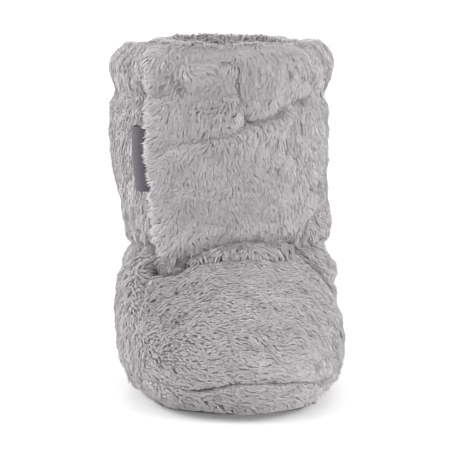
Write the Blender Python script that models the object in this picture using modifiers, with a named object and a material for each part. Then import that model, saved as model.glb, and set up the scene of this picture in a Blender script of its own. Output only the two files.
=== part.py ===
"""A baby's plush wrap bootie, closed: the right shoe of a pair.

The toe points along -Y, the outer side of the foot is -X, the inner side is +X and the floor is z = 0.
Sizes and tables are in millimetres, and meshes are made in metres.
"""

import math
from collections import namedtuple

import bmesh
import bpy
import numpy as np
from mathutils import Vector

MM = 0.001
GAP = 0.3

# Sole and footbed
SOLE_THICKNESS = 2.5
SOLE_MARGIN = 1.4
SOLE_EDGE_ROUND = 0.8
TOE_SPRING = 2.2
TOE_SPRING_START = -36.0
HEEL_SPRING = 1.0
HEEL_SPRING_START = 40.0
INSOLE_THICKNESS = 3.0
INSOLE_MARGIN = 3.4
SOLE_COLUMNS = 48
SOLE_RINGS = (0.0, 0.4, 0.75, 0.94, 1.0)

# Upper
UPPER_WALL = 4.0
FRONT_ROUNDNESS = 2.3
BACK_ROUNDNESS = 2.5
SEAM_LEVEL = 1.6
SEAM_HALF_WIDTH = 0.16
SEAM_DEPTH = 1.1
UPPER_COLUMNS = 52
LEVELS_BELOW_SEAM = (0.0, 0.45, 0.9, 1.25)
LEVELS_AT_SEAM = (SEAM_LEVEL - SEAM_HALF_WIDTH, SEAM_LEVEL, SEAM_LEVEL + SEAM_HALF_WIDTH)
LEVELS_ABOVE_SEAM = (2.1, 2.6, 3.3, 4.0, 4.8, 5.6, 6.4, 7.2, 8.0, 9.0)

# Shaft, a sheet that wraps the ankle one full turn and overlaps itself in front
SHAFT_WALL = 5.0
SHAFT_CENTRE_X = -4.6
SHAFT_CENTRE_Y = 22.0
SHAFT_HALF_WIDTH = 35.0
SHAFT_FRONT_REACH = 36.0
SHAFT_BACK_REACH = 31.5
SHAFT_ROUNDNESS = 2.5
SHAFT_COLUMNS = 80
SHAFT_LEVELS = (0.0, 0.03, 0.08, 0.25, 0.45, 0.62, 0.74, 0.83, 0.90, 0.96, 1.0)
INNER_END_ANGLE = 26.0
OUTER_END_ANGLE = -28.0
COLLAR_FRONT_HEIGHT = 122.3
COLLAR_BACK_HEIGHT = 112.5
SHAFT_BOTTOM_CLEARANCE = 0.6
SHAFT_BOTTOM_CURVE = 0.8
FLAP_LENGTH = 90.0
FLAP_DROP = 2.7
FLAP_CORNER = 11.0
FLAP_CORNER_REACH = 6
WAIST_TOP = 88.0
WAIST_DRAW = 1.8
WAIST_SHIFT = 1.8
COLLAR_ROLL = 14.0
COLLAR_BULGE = 1.5
COLLAR_TURN_IN = 3.2
PINCH_BELOW_TOP = 19.0
PINCH_DEPTH = 1.1
HEM_ROUND = 1.6

# Closing panels and pull tab
PANEL_THICKNESS = 1.2
PANEL_END_COLUMNS = 2
HOOK_PANEL_COLUMNS = 10
LOOP_PANEL_COLUMNS = 7
LAYER_STEP = SHAFT_WALL + 2 * PANEL_THICKNESS + 5 * GAP
TAB_WIDTH = 22.5
TAB_REACH = 6.5
TAB_THICKNESS = 2.0
TAB_EDGE_ROUND = 0.6
TAB_HEIGHT = 80.0
TAB_FACETS = 4

# Tongue
TONGUE_WALL = 5.0
TONGUE_INSET = 1.6
TONGUE_TOP = 109.0
TONGUE_HALF_SPAN = 0.125
TONGUE_LEAN = 2.5
TONGUE_ROUND_START = 0.55
TONGUE_ROUND_END = 1.25
TONGUE_COLUMNS = 14
TONGUE_ROWS = 9

# The upper's loops, from the sole's edge up to the throat: where each passes the toe, its widest point and heel
Loop = namedtuple("Loop", "toe_x toe_y toe_z wide_y half_width side_z heel_y heel_z")
BASE_Z = SOLE_THICKNESS + GAP
UPPER_LOOPS = (
    Loop(3.5, -56.5, BASE_Z, -14.0, 29.0, BASE_Z, 51.5, BASE_Z),
    Loop(3.4, -61.2, 9.0, -15.0, 35.4, 7.0, 55.2, 6.5),
    Loop(3.2, -63.0, 18.5, -15.0, 37.8, 12.5, 56.6, 11.5),
    Loop(2.2, -60.6, 25.0, -14.0, 38.6, 18.5, 57.2, 17.0),
    Loop(1.2, -52.8, 31.5, -11.0, 38.4, 25.0, 57.2, 23.0),
    Loop(0.4, -41.0, 38.4, -5.0, 37.5, 32.0, 57.0, 30.0),
    Loop(0.0, -28.0, 44.0, 4.0, 36.2, 38.5, 56.6, 36.5),
    Loop(0.0, -16.0, 47.6, 13.0, 35.0, 43.0, 56.2, 41.5),
    Loop(0.0, -5.2, 49.4, 22.0, 34.4, 45.0, 55.8, 43.5),
    Loop(0.0, -5.0, 50.6, 22.0, 34.4, 46.5, 55.8, 45.2),
)

# Colours from the photo, as linear values
PLUSH = (0.41, 0.385, 0.40)
LINING = (0.27, 0.26, 0.285)
PANEL_GREY = (0.47, 0.465, 0.49)
RIBBON_GREY = (0.13, 0.125, 0.14)
SOLE_GREY = (0.045, 0.043, 0.042)


def signed_power(value, exponent):
    return math.copysign(abs(value) ** exponent, value)


def bump(distance):
    """1 at distance 0, falling smoothly to 0 at distance 1 and beyond."""
    return max(0.0, 1.0 - distance * distance) ** 2


def ramp(value, start, end):
    """0 before start, 1 after end, smooth between."""
    share = min(1.0, max(0.0, (value - start) / (end - start)))
    return share * share * (3.0 - 2.0 * share)


def sole_lift(y):
    """How far the sole's toe and heel curl up from the floor."""
    toe = ramp(y, TOE_SPRING_START, UPPER_LOOPS[0].toe_y)
    heel = ramp(y, HEEL_SPRING_START, UPPER_LOOPS[0].heel_y)
    return TOE_SPRING * toe + HEEL_SPRING * heel


def upper_loop(level):
    """The loop at a level, 0 at the sole's edge and 9 at the throat, on a smooth curve through the rows."""
    row = min(int(level), len(UPPER_LOOPS) - 2)
    share = level - row
    rows = [UPPER_LOOPS[min(max(row + step, 0), len(UPPER_LOOPS) - 1)] for step in (-1, 0, 1, 2)]
    mixed = []
    for before, here, after, beyond in zip(*rows):
        slope_in = (after - before) / 2
        slope_out = (beyond - here) / 2
        cubic = 2 * (here - after) + slope_in + slope_out
        square = 3 * (after - here) - 2 * slope_in - slope_out
        mixed.append(here + share * (slope_in + share * (square + share * cubic)))
    return Loop(*mixed)


def loop_point(loop, turn, grow=0.0):
    """A point on a loop: turn 0 is the toe, 0.25 the inner side, 0.5 the heel and 0.75 the outer side."""
    forward = math.cos(2 * math.pi * turn)
    across = math.sin(2 * math.pi * turn)
    end_y, end_z, roundness = (
        (loop.toe_y, loop.toe_z, FRONT_ROUNDNESS)
        if forward > 0
        else (loop.heel_y, loop.heel_z, BACK_ROUNDNESS)
    )
    reach = abs(end_y - loop.wide_y) + grow
    x = (loop.half_width + grow) * signed_power(across, 2 / roundness)
    y = loop.wide_y - reach * signed_power(forward, 2 / roundness)
    z = loop.side_z + (end_z - loop.side_z) * forward * forward
    toe_pull = (1.0 + forward) / 2
    return Vector((x + loop.toe_x * toe_pull, y, z))


def upper_point(turn, level):
    """The upper's outer face, with the toe seam as a groove and its lower edge following the sole."""
    loop = upper_loop(level)
    seam = SEAM_DEPTH * bump((level - SEAM_LEVEL) / SEAM_HALF_WIDTH)
    point = loop_point(loop, turn, -seam)
    point.z += sole_lift(point.y) * max(0.0, 1.0 - level)
    return point


def wrap_oval(angle):
    """The middle of the shaft's sheet before it spirals: angle 0 is the front, 90 the inner side."""
    forward = math.cos(math.radians(angle))
    across = math.sin(math.radians(angle))
    reach = SHAFT_FRONT_REACH if forward > 0 else SHAFT_BACK_REACH
    x = SHAFT_CENTRE_X + SHAFT_HALF_WIDTH * signed_power(across, 2 / SHAFT_ROUNDNESS)
    y = SHAFT_CENTRE_Y - reach * signed_power(forward, 2 / SHAFT_ROUNDNESS)
    return np.array((x, y))


class WrapPath:
    """The shaft's sheet in plan, measured along its middle from the inner wing's end to the outer wing's end.

    It leaves the inner end, passes the front, the outer side, the back and the inner side, and comes round to
    the front again one layer further out.
    """

    STEPS = 900
    TAIL_ANGLE = 25.0

    def __init__(self):
        end = OUTER_END_ANGLE - 360.0
        angles = np.linspace(INNER_END_ANGLE, end - self.TAIL_ANGLE, self.STEPS)
        oval = np.array([wrap_oval(angle) for angle in angles])
        along = np.gradient(oval, axis=0)
        along /= np.linalg.norm(along, axis=1)[:, None]
        outward = np.stack((-along[:, 1], along[:, 0]), axis=1)
        offset = LAYER_STEP * (-180.0 - angles) / 360.0
        self.middle = oval + outward * offset[:, None]
        run = np.linalg.norm(np.diff(self.middle, axis=0), axis=1)
        self.distance = np.concatenate(([0.0], np.cumsum(run)))
        self.outward = outward
        self.angles = angles
        self.length = float(np.interp(-end, -angles, self.distance))

    def plan(self, distance, out=0.0):
        """x and y at a distance along the sheet, moved outward from its middle."""
        across = [np.interp(distance, self.distance, self.outward[:, i]) for i in (0, 1)]
        return [np.interp(distance, self.distance, self.middle[:, i]) + out * across[i] for i in (0, 1)]

    def height_limits(self, distance):
        """The sheet's bottom and top edges."""
        angle = np.interp(distance, self.distance, self.angles)
        forward = math.cos(math.radians(angle))
        throat = UPPER_LOOPS[-1]
        seam_z = throat.toe_z if forward > 0 else throat.heel_z
        rise = (seam_z - throat.side_z) * abs(forward) ** SHAFT_BOTTOM_CURVE
        bottom = throat.side_z + rise + SHAFT_BOTTOM_CLEARANCE
        bottom -= FLAP_DROP * ramp(distance, self.length - FLAP_LENGTH, self.length - FLAP_LENGTH / 3)
        middle = (COLLAR_FRONT_HEIGHT + COLLAR_BACK_HEIGHT) / 2
        top = middle + (COLLAR_FRONT_HEIGHT - COLLAR_BACK_HEIGHT) / 2 * forward
        return bottom, top


WRAP = WrapPath()


def collar_profile(below_top):
    """How far the sheet swells out at its rolled collar, turns in at the rim and draws in at the hem's pinch."""
    roll = COLLAR_BULGE * bump((below_top - COLLAR_ROLL / 2) / COLLAR_ROLL)
    pinch = PINCH_DEPTH * bump((below_top - PINCH_BELOW_TOP) / (COLLAR_ROLL / 2))
    turn_in = COLLAR_TURN_IN * bump(below_top / (COLLAR_ROLL / 2))
    return roll - pinch - turn_in


def sheet_point(distance, z, out=0.0):
    """A point at a distance along the sheet and a height, moved outward from its middle.

    Below WAIST_TOP the sheet draws in to the ankle and leans towards the inner side.
    """
    top = WRAP.height_limits(distance)[1]
    waist = 1.0 - ramp(z, UPPER_LOOPS[-1].side_z, WAIST_TOP)
    x, y = WRAP.plan(distance, out + collar_profile(top - z) - WAIST_DRAW * waist)
    return Vector((x + WAIST_SHIFT * waist, y, z))


def shaft_point(along, up):
    """The middle of the shaft's sheet, with the flap's lower corner cut round."""
    distance = along * WRAP.length
    bottom, top = WRAP.height_limits(distance)
    height = (top - bottom) * up
    above_corner = max(0.0, FLAP_CORNER - height)
    cut = FLAP_CORNER - math.sqrt(FLAP_CORNER**2 - above_corner**2)
    return sheet_point(distance - cut * along**FLAP_CORNER_REACH, bottom + height)


def panel_point(first_column, columns, out):
    """A function that places a closing panel on one face of the sheet, facet on facet."""

    def place(along, up):
        distance = (first_column + along * columns) * WRAP.length / SHAFT_COLUMNS
        bottom, top = WRAP.height_limits(distance)
        return sheet_point(distance, bottom + (top - bottom) * up, out)

    return place


def tab_point(along, up):
    """The pull tab carries on from the end of the outer wing."""
    return sheet_point(WRAP.length + GAP + along * TAB_REACH, TAB_HEIGHT + (up - 0.5) * TAB_WIDTH)


def tongue_point(across, up):
    """The tongue's middle, standing on the throat's edge, with a rounded top."""
    widen = math.sqrt(1.0 - ramp(up, TONGUE_ROUND_START, TONGUE_ROUND_END) ** 2)
    turn = (across - 0.5) * 2 * TONGUE_HALF_SPAN * widen
    edge = loop_point(UPPER_LOOPS[-1], turn, -TONGUE_INSET - TONGUE_WALL / 2)
    bottom = edge.z + 1.5 * GAP
    return Vector((edge.x, edge.y + TONGUE_LEAN * up, bottom + (TONGUE_TOP - bottom) * up))


def sole_point(margin, height):
    """A function that places a plate with the sole's outline, grown by a margin, above the sole's curl."""

    def place(turn, share):
        rim = loop_point(UPPER_LOOPS[0], turn, margin)
        x = rim.x * share
        y = UPPER_LOOPS[0].wide_y + (rim.y - UPPER_LOOPS[0].wide_y) * share
        return Vector((x, y, height + sole_lift(y)))

    return place


def material(name, colour, roughness):
    made = bpy.data.materials.new(name)
    made.use_nodes = True
    shader = made.node_tree.nodes["Principled BSDF"]
    shader.inputs["Base Color"].default_value = (*colour, 1.0)
    shader.inputs["Roughness"].default_value = roughness
    shader.inputs["Metallic"].default_value = 0.0
    return made


def mapped_grid(name, columns, rows, place):
    """An open surface: a flat grid whose points are placed by a function of their two shares, 0 to 1.

    rows is a number of rows, or the list of shares at which they lie.
    """
    shares = [row / rows for row in range(rows + 1)] if isinstance(rows, int) else rows
    sheet = bmesh.new()
    bmesh.ops.create_grid(sheet, x_segments=columns, y_segments=len(shares) - 1, size=0.5)
    for vert in sheet.verts:
        row = round((vert.co.y + 0.5) * (len(shares) - 1))
        vert.co = place(vert.co.x + 0.5, shares[row]) * MM
    bmesh.ops.remove_doubles(sheet, verts=sheet.verts, dist=0.01 * MM)
    mesh = bpy.data.meshes.new(name)
    sheet.to_mesh(mesh)
    sheet.free()
    return mesh


def add_part(collection, parent, mesh, surface, wall, offset, edge_round=0.0):
    """One sub-part: an open surface made solid, with its rims rounded.

    offset is 1 where the wall grows along the surface's normals, -1 against them and 0 both ways.
    """
    part = bpy.data.objects.new(mesh.name, mesh)
    collection.objects.link(part)
    part.parent = parent
    mesh.materials.append(surface)
    mesh.shade_smooth()
    solid = part.modifiers.new("wall", "SOLIDIFY")
    solid.thickness = wall * MM
    solid.offset = offset
    solid.use_even_offset = True
    if edge_round:
        rim = part.modifiers.new("rim", "BEVEL")
        rim.width = edge_round * MM
        rim.segments = 2
        rim.limit_method = "ANGLE"
        rim.angle_limit = math.radians(60)
    return part


def clear_scene():
    for old in list(bpy.data.objects):
        bpy.data.objects.remove(old)


def build():
    clear_scene()
    collection = bpy.data.collections.new("baby_bootie")
    bpy.context.scene.collection.children.link(collection)
    root = bpy.data.objects.new("bootie", None)
    collection.objects.link(root)

    plush = material("plush", PLUSH, 0.95)
    lining = material("fleece_lining", LINING, 0.95)
    panel = material("closing_panel", PANEL_GREY, 0.85)
    ribbon = material("ribbon", RIBBON_GREY, 0.7)
    suede = material("sole_suede", SOLE_GREY, 0.9)

    outsole = mapped_grid("outsole", SOLE_COLUMNS, SOLE_RINGS, sole_point(SOLE_MARGIN, SOLE_THICKNESS))
    add_part(collection, root, outsole, suede, SOLE_THICKNESS, 1.0, SOLE_EDGE_ROUND)

    insole_place = sole_point(-INSOLE_MARGIN, BASE_Z + GAP + INSOLE_THICKNESS)
    insole = mapped_grid("insole", SOLE_COLUMNS, SOLE_RINGS, insole_place)
    add_part(collection, root, insole, lining, INSOLE_THICKNESS, 1.0)

    upper_levels = LEVELS_BELOW_SEAM + LEVELS_AT_SEAM + LEVELS_ABOVE_SEAM
    upper = mapped_grid("upper", UPPER_COLUMNS, upper_levels, upper_point)
    add_part(collection, root, upper, plush, UPPER_WALL, -1.0)

    tongue = mapped_grid("tongue", TONGUE_COLUMNS, TONGUE_ROWS, tongue_point)
    add_part(collection, root, tongue, plush, TONGUE_WALL, 0.0, HEM_ROUND)

    shaft = mapped_grid("shaft", SHAFT_COLUMNS, SHAFT_LEVELS, shaft_point)
    add_part(collection, root, shaft, plush, SHAFT_WALL, 0.0, HEM_ROUND)

    face = SHAFT_WALL / 2 + GAP + PANEL_THICKNESS / 2
    panel_levels = SHAFT_LEVELS[2:-2]
    loop_place = panel_point(PANEL_END_COLUMNS, LOOP_PANEL_COLUMNS, face)
    loop_panel = mapped_grid("loop_panel", LOOP_PANEL_COLUMNS, panel_levels, loop_place)
    add_part(collection, root, loop_panel, panel, PANEL_THICKNESS, 0.0)

    hook_start = SHAFT_COLUMNS - PANEL_END_COLUMNS - HOOK_PANEL_COLUMNS
    hook_place = panel_point(hook_start, HOOK_PANEL_COLUMNS, -face)
    hook_panel = mapped_grid("hook_panel", HOOK_PANEL_COLUMNS, panel_levels, hook_place)
    add_part(collection, root, hook_panel, panel, PANEL_THICKNESS, 0.0)

    pull_tab = mapped_grid("pull_tab", TAB_FACETS, TAB_FACETS, tab_point)
    add_part(collection, root, pull_tab, ribbon, TAB_THICKNESS, 0.0, TAB_EDGE_ROUND)


build()
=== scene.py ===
"""The looks of a baby's plush wrap bootie, closed: the right shoe of a pair.

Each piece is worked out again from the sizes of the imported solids, at a finer step, with soft creases,
plush pile, a fleece lining and stitching. Sizes and tables are in millimetres, meshes are made in metres.
The toe points along -Y, the outer side of the foot is -X, the inner side is +X and the floor is z = 0.
"""

import math
from collections import namedtuple

import bmesh
import bpy
import numpy as np
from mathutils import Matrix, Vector
from mathutils.kdtree import KDTree


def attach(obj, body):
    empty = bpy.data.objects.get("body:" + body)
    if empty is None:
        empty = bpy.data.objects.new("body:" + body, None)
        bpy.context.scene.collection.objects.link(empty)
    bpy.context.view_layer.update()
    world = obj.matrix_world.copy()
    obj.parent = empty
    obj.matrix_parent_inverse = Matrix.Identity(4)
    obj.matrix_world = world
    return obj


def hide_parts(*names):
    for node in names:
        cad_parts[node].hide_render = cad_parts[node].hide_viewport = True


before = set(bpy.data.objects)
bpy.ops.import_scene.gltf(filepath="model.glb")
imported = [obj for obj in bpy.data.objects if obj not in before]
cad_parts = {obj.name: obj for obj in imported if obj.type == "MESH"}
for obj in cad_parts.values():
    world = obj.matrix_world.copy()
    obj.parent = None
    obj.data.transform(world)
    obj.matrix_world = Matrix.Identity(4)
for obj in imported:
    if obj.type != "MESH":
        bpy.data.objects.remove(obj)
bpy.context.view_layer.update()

MM = 0.001
GAP = 0.3

# Directions, and a factor that keeps the level part of a direction
INWARD = np.array((1.0, 0.0, 0.0))
UP = np.array((0.0, 0.0, 1.0))
DOWN = np.array((0.0, 0.0, -1.0))
LEVEL_PART = np.array((1.0, 1.0, 0.0))

# Sole and footbed
SOLE_THICKNESS = 2.5
SOLE_MARGIN = 1.4
TOE_SPRING = 2.2
TOE_SPRING_START = -36.0
HEEL_SPRING = 1.0
HEEL_SPRING_START = 40.0
INSOLE_THICKNESS = 3.0
INSOLE_MARGIN = 3.4
FOOTBED_HOLLOW = 0.7

# Upper
UPPER_WALL = 4.0
FRONT_ROUNDNESS = 2.3
BACK_ROUNDNESS = 2.5
SEAM_LEVEL = 1.6
SEAM_HALF_WIDTH = 0.16
SEAM_DEPTH = 1.1
THROAT_LEVEL = 9.0
BASE_Z = SOLE_THICKNESS + GAP
Loop = namedtuple("Loop", "toe_x toe_y toe_z wide_y half_width side_z heel_y heel_z")
UPPER_LOOPS = (
    Loop(3.5, -56.5, BASE_Z, -14.0, 29.0, BASE_Z, 51.5, BASE_Z),
    Loop(3.4, -61.2, 9.0, -15.0, 35.4, 7.0, 55.2, 6.5),
    Loop(3.2, -63.0, 18.5, -15.0, 37.8, 12.5, 56.6, 11.5),
    Loop(2.2, -60.6, 25.0, -14.0, 38.6, 18.5, 57.2, 17.0),
    Loop(1.2, -52.8, 31.5, -11.0, 38.4, 25.0, 57.2, 23.0),
    Loop(0.4, -41.0, 38.4, -5.0, 37.5, 32.0, 57.0, 30.0),
    Loop(0.0, -28.0, 44.0, 4.0, 36.2, 38.5, 56.6, 36.5),
    Loop(0.0, -16.0, 47.6, 13.0, 35.0, 43.0, 56.2, 41.5),
    Loop(0.0, -5.2, 49.4, 22.0, 34.4, 45.0, 55.8, 43.5),
    Loop(0.0, -5.0, 50.6, 22.0, 34.4, 46.5, 55.8, 45.2),
)

# Shaft
SHAFT_WALL = 5.0
SHAFT_CENTRE_X = -4.6
SHAFT_CENTRE_Y = 22.0
SHAFT_HALF_WIDTH = 35.0
SHAFT_FRONT_REACH = 36.0
SHAFT_BACK_REACH = 31.5
SHAFT_ROUNDNESS = 2.5
SHAFT_COLUMNS = 80
INNER_END_ANGLE = 26.0
OUTER_END_ANGLE = -28.0
COLLAR_FRONT_HEIGHT = 122.3
COLLAR_BACK_HEIGHT = 112.5
SHAFT_BOTTOM_CLEARANCE = 0.6
SHAFT_BOTTOM_CURVE = 0.8
FLAP_LENGTH = 90.0
FLAP_DROP = 2.7
FLAP_CORNER = 11.0
FLAP_CORNER_REACH = 6
WAIST_TOP = 88.0
WAIST_DRAW = 1.8
WAIST_SHIFT = 1.8
COLLAR_ROLL = 14.0
COLLAR_BULGE = 1.5
COLLAR_TURN_IN = 3.2
PINCH_BELOW_TOP = 19.0
PINCH_DEPTH = 1.1

# Closing panels, pull tab and tongue
PANEL_THICKNESS = 1.2
PANEL_END_COLUMNS = 2
HOOK_PANEL_COLUMNS = 10
LOOP_PANEL_COLUMNS = 7
PANEL_BOTTOM = 0.08
PANEL_TOP = 0.90
LAYER_STEP = SHAFT_WALL + 2 * PANEL_THICKNESS + 5 * GAP
TAB_WIDTH = 22.5
TAB_REACH = 6.5
TAB_HEIGHT = 80.0
RIBBON_THICKNESS = 0.75
TAB_ROOT = 0.6
TAB_FOLD = 1.5
TAB_DIP = 1.2
TONGUE_WALL = 5.0
TONGUE_INSET = 1.6
TONGUE_TOP = 109.0
TONGUE_HALF_SPAN = 0.125
TONGUE_LEAN = 2.5
TONGUE_ROUND_START = 0.55
TONGUE_ROUND_END = 1.25

# The pile stands on a backing that lies this far inside the solids' faces and below their rims
PILE_INSET = 1.2
RIM_INSET_FRONT = 2.8
RIM_INSET_OUTER = 3.2
RIM_INSET_INNER = 2.2
RIM_INSET_BACK = -1.2
RIM_INSET_WING = 3.0
RIM_SHOULDER = 2.0
RIM_SHOULDER_OUTER = 3.6
RIM_SHOULDER_HEIGHT = 8.0
RIM_ROWS = 10
SOLE_TUCK = 1.6

# The upper's rounded edges, in levels, and the sizes that shares of the shaft and the tongue stand for
SOLE_EDGE_LEVELS = 0.25
THROAT_EDGE_LEVELS = 0.4
SHAFT_HEIGHT = 72.0
TONGUE_WIDTH = 44.0
TONGUE_HEIGHT = 58.0

# The waist is pinched on the outer side, where shaft and upper meet
SHAFT_NOTCH = 0.6
SHAFT_NOTCH_HEIGHT = 8.0
UPPER_NOTCH = 3.4
UPPER_NOTCH_LEVELS = 3.6

# The toe seam sags on the outer side of the toe: in levels, at this turn from the toe, over this many turns
SEAM_SAG = 0.32
SEAM_SAG_TURN = -0.055
SEAM_SAG_SPAN = 0.06
SEAM_SAG_LEVELS = 1.5

# The seam's valley in the backing, its half width in levels, the painted shade of its pile,
# and how many levels beside it no pile grows and the pile is short
SEAM_VALLEY = 1.4
SEAM_VALLEY_LEVELS = 0.15
SEAM_PAINTED_SHADE = 0.6
SEAM_BARE_LEVELS = 0.12
SEAM_SHORT_LEVELS = 0.4

# The flap begins between these angles. Its lower edge hangs and stands out over the vamp,
# and is rounder than the rest of the shaft's lower edge.
FLAP_ANGLES = (-322.0, -342.0)
FLAP_HANG = 2.1
FLAP_FLARE = 4.5
FLAP_FLARE_HEIGHT = 15.0
HEM_EDGE = 0.25

# Stitching
BORDER_INSET = 2.2
STITCH_GROOVE = 0.5
GROOVE_HALF_WIDTH = 1.6
STITCH_INSET = 10.5
STITCH_STEP = 3.2
STITCH_LENGTH = 2.3
STITCH_RADIUS = 0.24
STITCH_TAPER = 0.2
STITCH_SIDES = 5

# Camera, at the photo's angle
CAMERA_TARGET = (-0.25, -2.0, 54.3)
CAMERA_ELEVATION = 12.0
CAMERA_DISTANCE = 870.0
CAMERA_FIELD = 156.0
SENSOR_WIDTH = 36.0


def signed_power(value, exponent):
    return np.sign(value) * np.abs(value) ** exponent


def bump(distance):
    """1 at distance 0, falling smoothly to 0 at distance 1 and beyond."""
    return np.clip(1.0 - distance**2, 0.0, None) ** 2


def ramp(value, start, end):
    """0 before start, 1 after end, smooth between."""
    share = np.clip((value - start) / (end - start), 0.0, 1.0)
    return share**2 * (3.0 - 2.0 * share)


def unit(vectors):
    return vectors / np.maximum(np.linalg.norm(vectors, axis=-1, keepdims=True), 1e-9)


def spaced(start, end, count, round_start=0.0, round_end=0.0, steps=6):
    """Places from start to end, closer together where an edge is rounded."""
    arc = 1.0 - np.cos(np.linspace(0.0, math.pi / 2, steps))
    places = [np.linspace(start + round_start, end - round_end, count)]
    if round_start:
        places.insert(0, start + round_start * arc[:-1])
    if round_end:
        places.append(end - round_end * arc[-2::-1])
    return np.concatenate(places)


class Waves:
    """A smooth random field: a sum of waves of about one wavelength, with a spread of about 1."""

    COUNT = 18
    SPREAD = (0.7, 1.4)

    def __init__(self, seed, wavelength):
        draw = np.random.default_rng(seed)
        lengths = wavelength / draw.uniform(*self.SPREAD, (self.COUNT, 1))
        self.vectors = unit(draw.normal(size=(self.COUNT, 3))) * 2 * math.pi / lengths
        self.phases = draw.uniform(0.0, 2 * math.pi, self.COUNT)

    def __call__(self, points):
        total = np.sin(points @ self.vectors.T + self.phases).sum(axis=-1)
        return total * math.sqrt(2.0 / len(self.phases))


# Surfaces


def sole_lift(y):
    toe = ramp(y, TOE_SPRING_START, UPPER_LOOPS[0].toe_y)
    heel = ramp(y, HEEL_SPRING_START, UPPER_LOOPS[0].heel_y)
    return TOE_SPRING * toe + HEEL_SPRING * heel


def upper_loop(level):
    """The upper's loop at a level, 0 at the sole's edge and 9 at the throat, smooth through the rows."""
    table = np.array(UPPER_LOOPS)
    row = np.clip(level.astype(int), 0, len(table) - 2)
    share = (level - row)[..., None]
    rows = [table[np.clip(row + step, 0, len(table) - 1)] for step in (-1, 0, 1, 2)]
    before, here, after, beyond = rows
    slope_in = (after - before) / 2
    slope_out = (beyond - here) / 2
    cubic = 2 * (here - after) + slope_in + slope_out
    square = 3 * (after - here) - 2 * slope_in - slope_out
    mixed = here + share * (slope_in + share * (square + share * cubic))
    return Loop(*np.moveaxis(mixed, -1, 0))


def loop_point(loop, turn, grow=0.0):
    """A point on a loop: turn 0 is the toe, 0.25 the inner side, 0.5 the heel and 0.75 the outer side."""
    forward = np.cos(2 * math.pi * turn)
    across = np.sin(2 * math.pi * turn)
    front = forward > 0
    end_y = np.where(front, loop.toe_y, loop.heel_y)
    end_z = np.where(front, loop.toe_z, loop.heel_z)
    power = 2 / np.where(front, FRONT_ROUNDNESS, BACK_ROUNDNESS)
    x = (loop.half_width + grow) * signed_power(across, power) + loop.toe_x * (1.0 + forward) / 2
    y = loop.wide_y - (np.abs(end_y - loop.wide_y) + grow) * signed_power(forward, power)
    z = loop.side_z + (end_z - loop.side_z) * forward**2
    return np.stack(np.broadcast_arrays(x, y, z), axis=-1)


def seam_sag(turn):
    """How many levels the toe seam lies below its plain level."""
    from_toe = (turn + 0.5) % 1.0 - 0.5
    return SEAM_SAG * bump((from_toe - SEAM_SAG_TURN) / SEAM_SAG_SPAN)


def upper_point(turn, level, grow=0.0):
    """The upper's outer face moved outward by grow, with the toe seam as a groove."""
    seam = SEAM_DEPTH * bump((level - SEAM_LEVEL + seam_sag(turn)) / SEAM_HALF_WIDTH)
    point = loop_point(upper_loop(level), turn, grow - seam)
    point[..., 2] += sole_lift(point[..., 1]) * np.clip(1.0 - level, 0.0, None)
    return point


def sole_point(turn, share, margin, height):
    """A plate with the sole's outline, grown by a margin, at a height above the sole's curl."""
    base = UPPER_LOOPS[0]
    rim = loop_point(base, turn, margin)
    x = rim[..., 0] * share
    y = base.wide_y + (rim[..., 1] - base.wide_y) * share
    return np.stack((x, y, height + sole_lift(y)), axis=-1)


class WrapPath:
    """The shaft's sheet in plan, measured along its middle from the inner wing's end to the flap's end.

    It leaves the inner end, passes the front, the outer side, the back and the inner side, and comes round
    to the front again one layer further out.
    """

    STEPS = 900
    TAIL_ANGLE = 25.0

    def __init__(self):
        end = OUTER_END_ANGLE - 360.0
        angles = np.linspace(INNER_END_ANGLE, end - self.TAIL_ANGLE, self.STEPS)
        forward = np.cos(np.radians(angles))
        across = np.sin(np.radians(angles))
        reach = np.where(forward > 0, SHAFT_FRONT_REACH, SHAFT_BACK_REACH)
        x = SHAFT_CENTRE_X + SHAFT_HALF_WIDTH * signed_power(across, 2 / SHAFT_ROUNDNESS)
        y = SHAFT_CENTRE_Y - reach * signed_power(forward, 2 / SHAFT_ROUNDNESS)
        oval = np.stack((x, y), axis=1)
        along = unit(np.gradient(oval, axis=0))
        self.outward = np.stack((-along[:, 1], along[:, 0]), axis=1)
        self.middle = oval + self.outward * (LAYER_STEP * (-180.0 - angles) / 360.0)[:, None]
        run = np.linalg.norm(np.diff(self.middle, axis=0), axis=1)
        self.distance = np.concatenate(([0.0], np.cumsum(run)))
        self.angles = angles
        self.length = self.at_angle(end)
        self.front = self.at_angle(-360.0)

    def at_angle(self, angle):
        """The distance at which the sheet passes an angle."""
        return float(np.interp(-angle, -self.angles, self.distance))

    def plan(self, distance, out):
        """x and y at a distance along the sheet, moved outward from its middle."""
        across = [np.interp(distance, self.distance, self.outward[:, i]) for i in (0, 1)]
        return [np.interp(distance, self.distance, self.middle[:, i]) + out * across[i] for i in (0, 1)]

    def height_limits(self, distance):
        """The sheet's bottom and top edges."""
        forward = np.cos(np.radians(np.interp(distance, self.distance, self.angles)))
        throat = UPPER_LOOPS[-1]
        seam_z = np.where(forward > 0, throat.toe_z, throat.heel_z)
        rise = (seam_z - throat.side_z) * np.abs(forward) ** SHAFT_BOTTOM_CURVE
        drop = FLAP_DROP * ramp(distance, self.length - FLAP_LENGTH, self.length - FLAP_LENGTH / 3)
        bottom = throat.side_z + rise + SHAFT_BOTTOM_CLEARANCE - drop
        middle = (COLLAR_FRONT_HEIGHT + COLLAR_BACK_HEIGHT) / 2
        return bottom, middle + (COLLAR_FRONT_HEIGHT - COLLAR_BACK_HEIGHT) / 2 * forward


WRAP = WrapPath()


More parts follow.
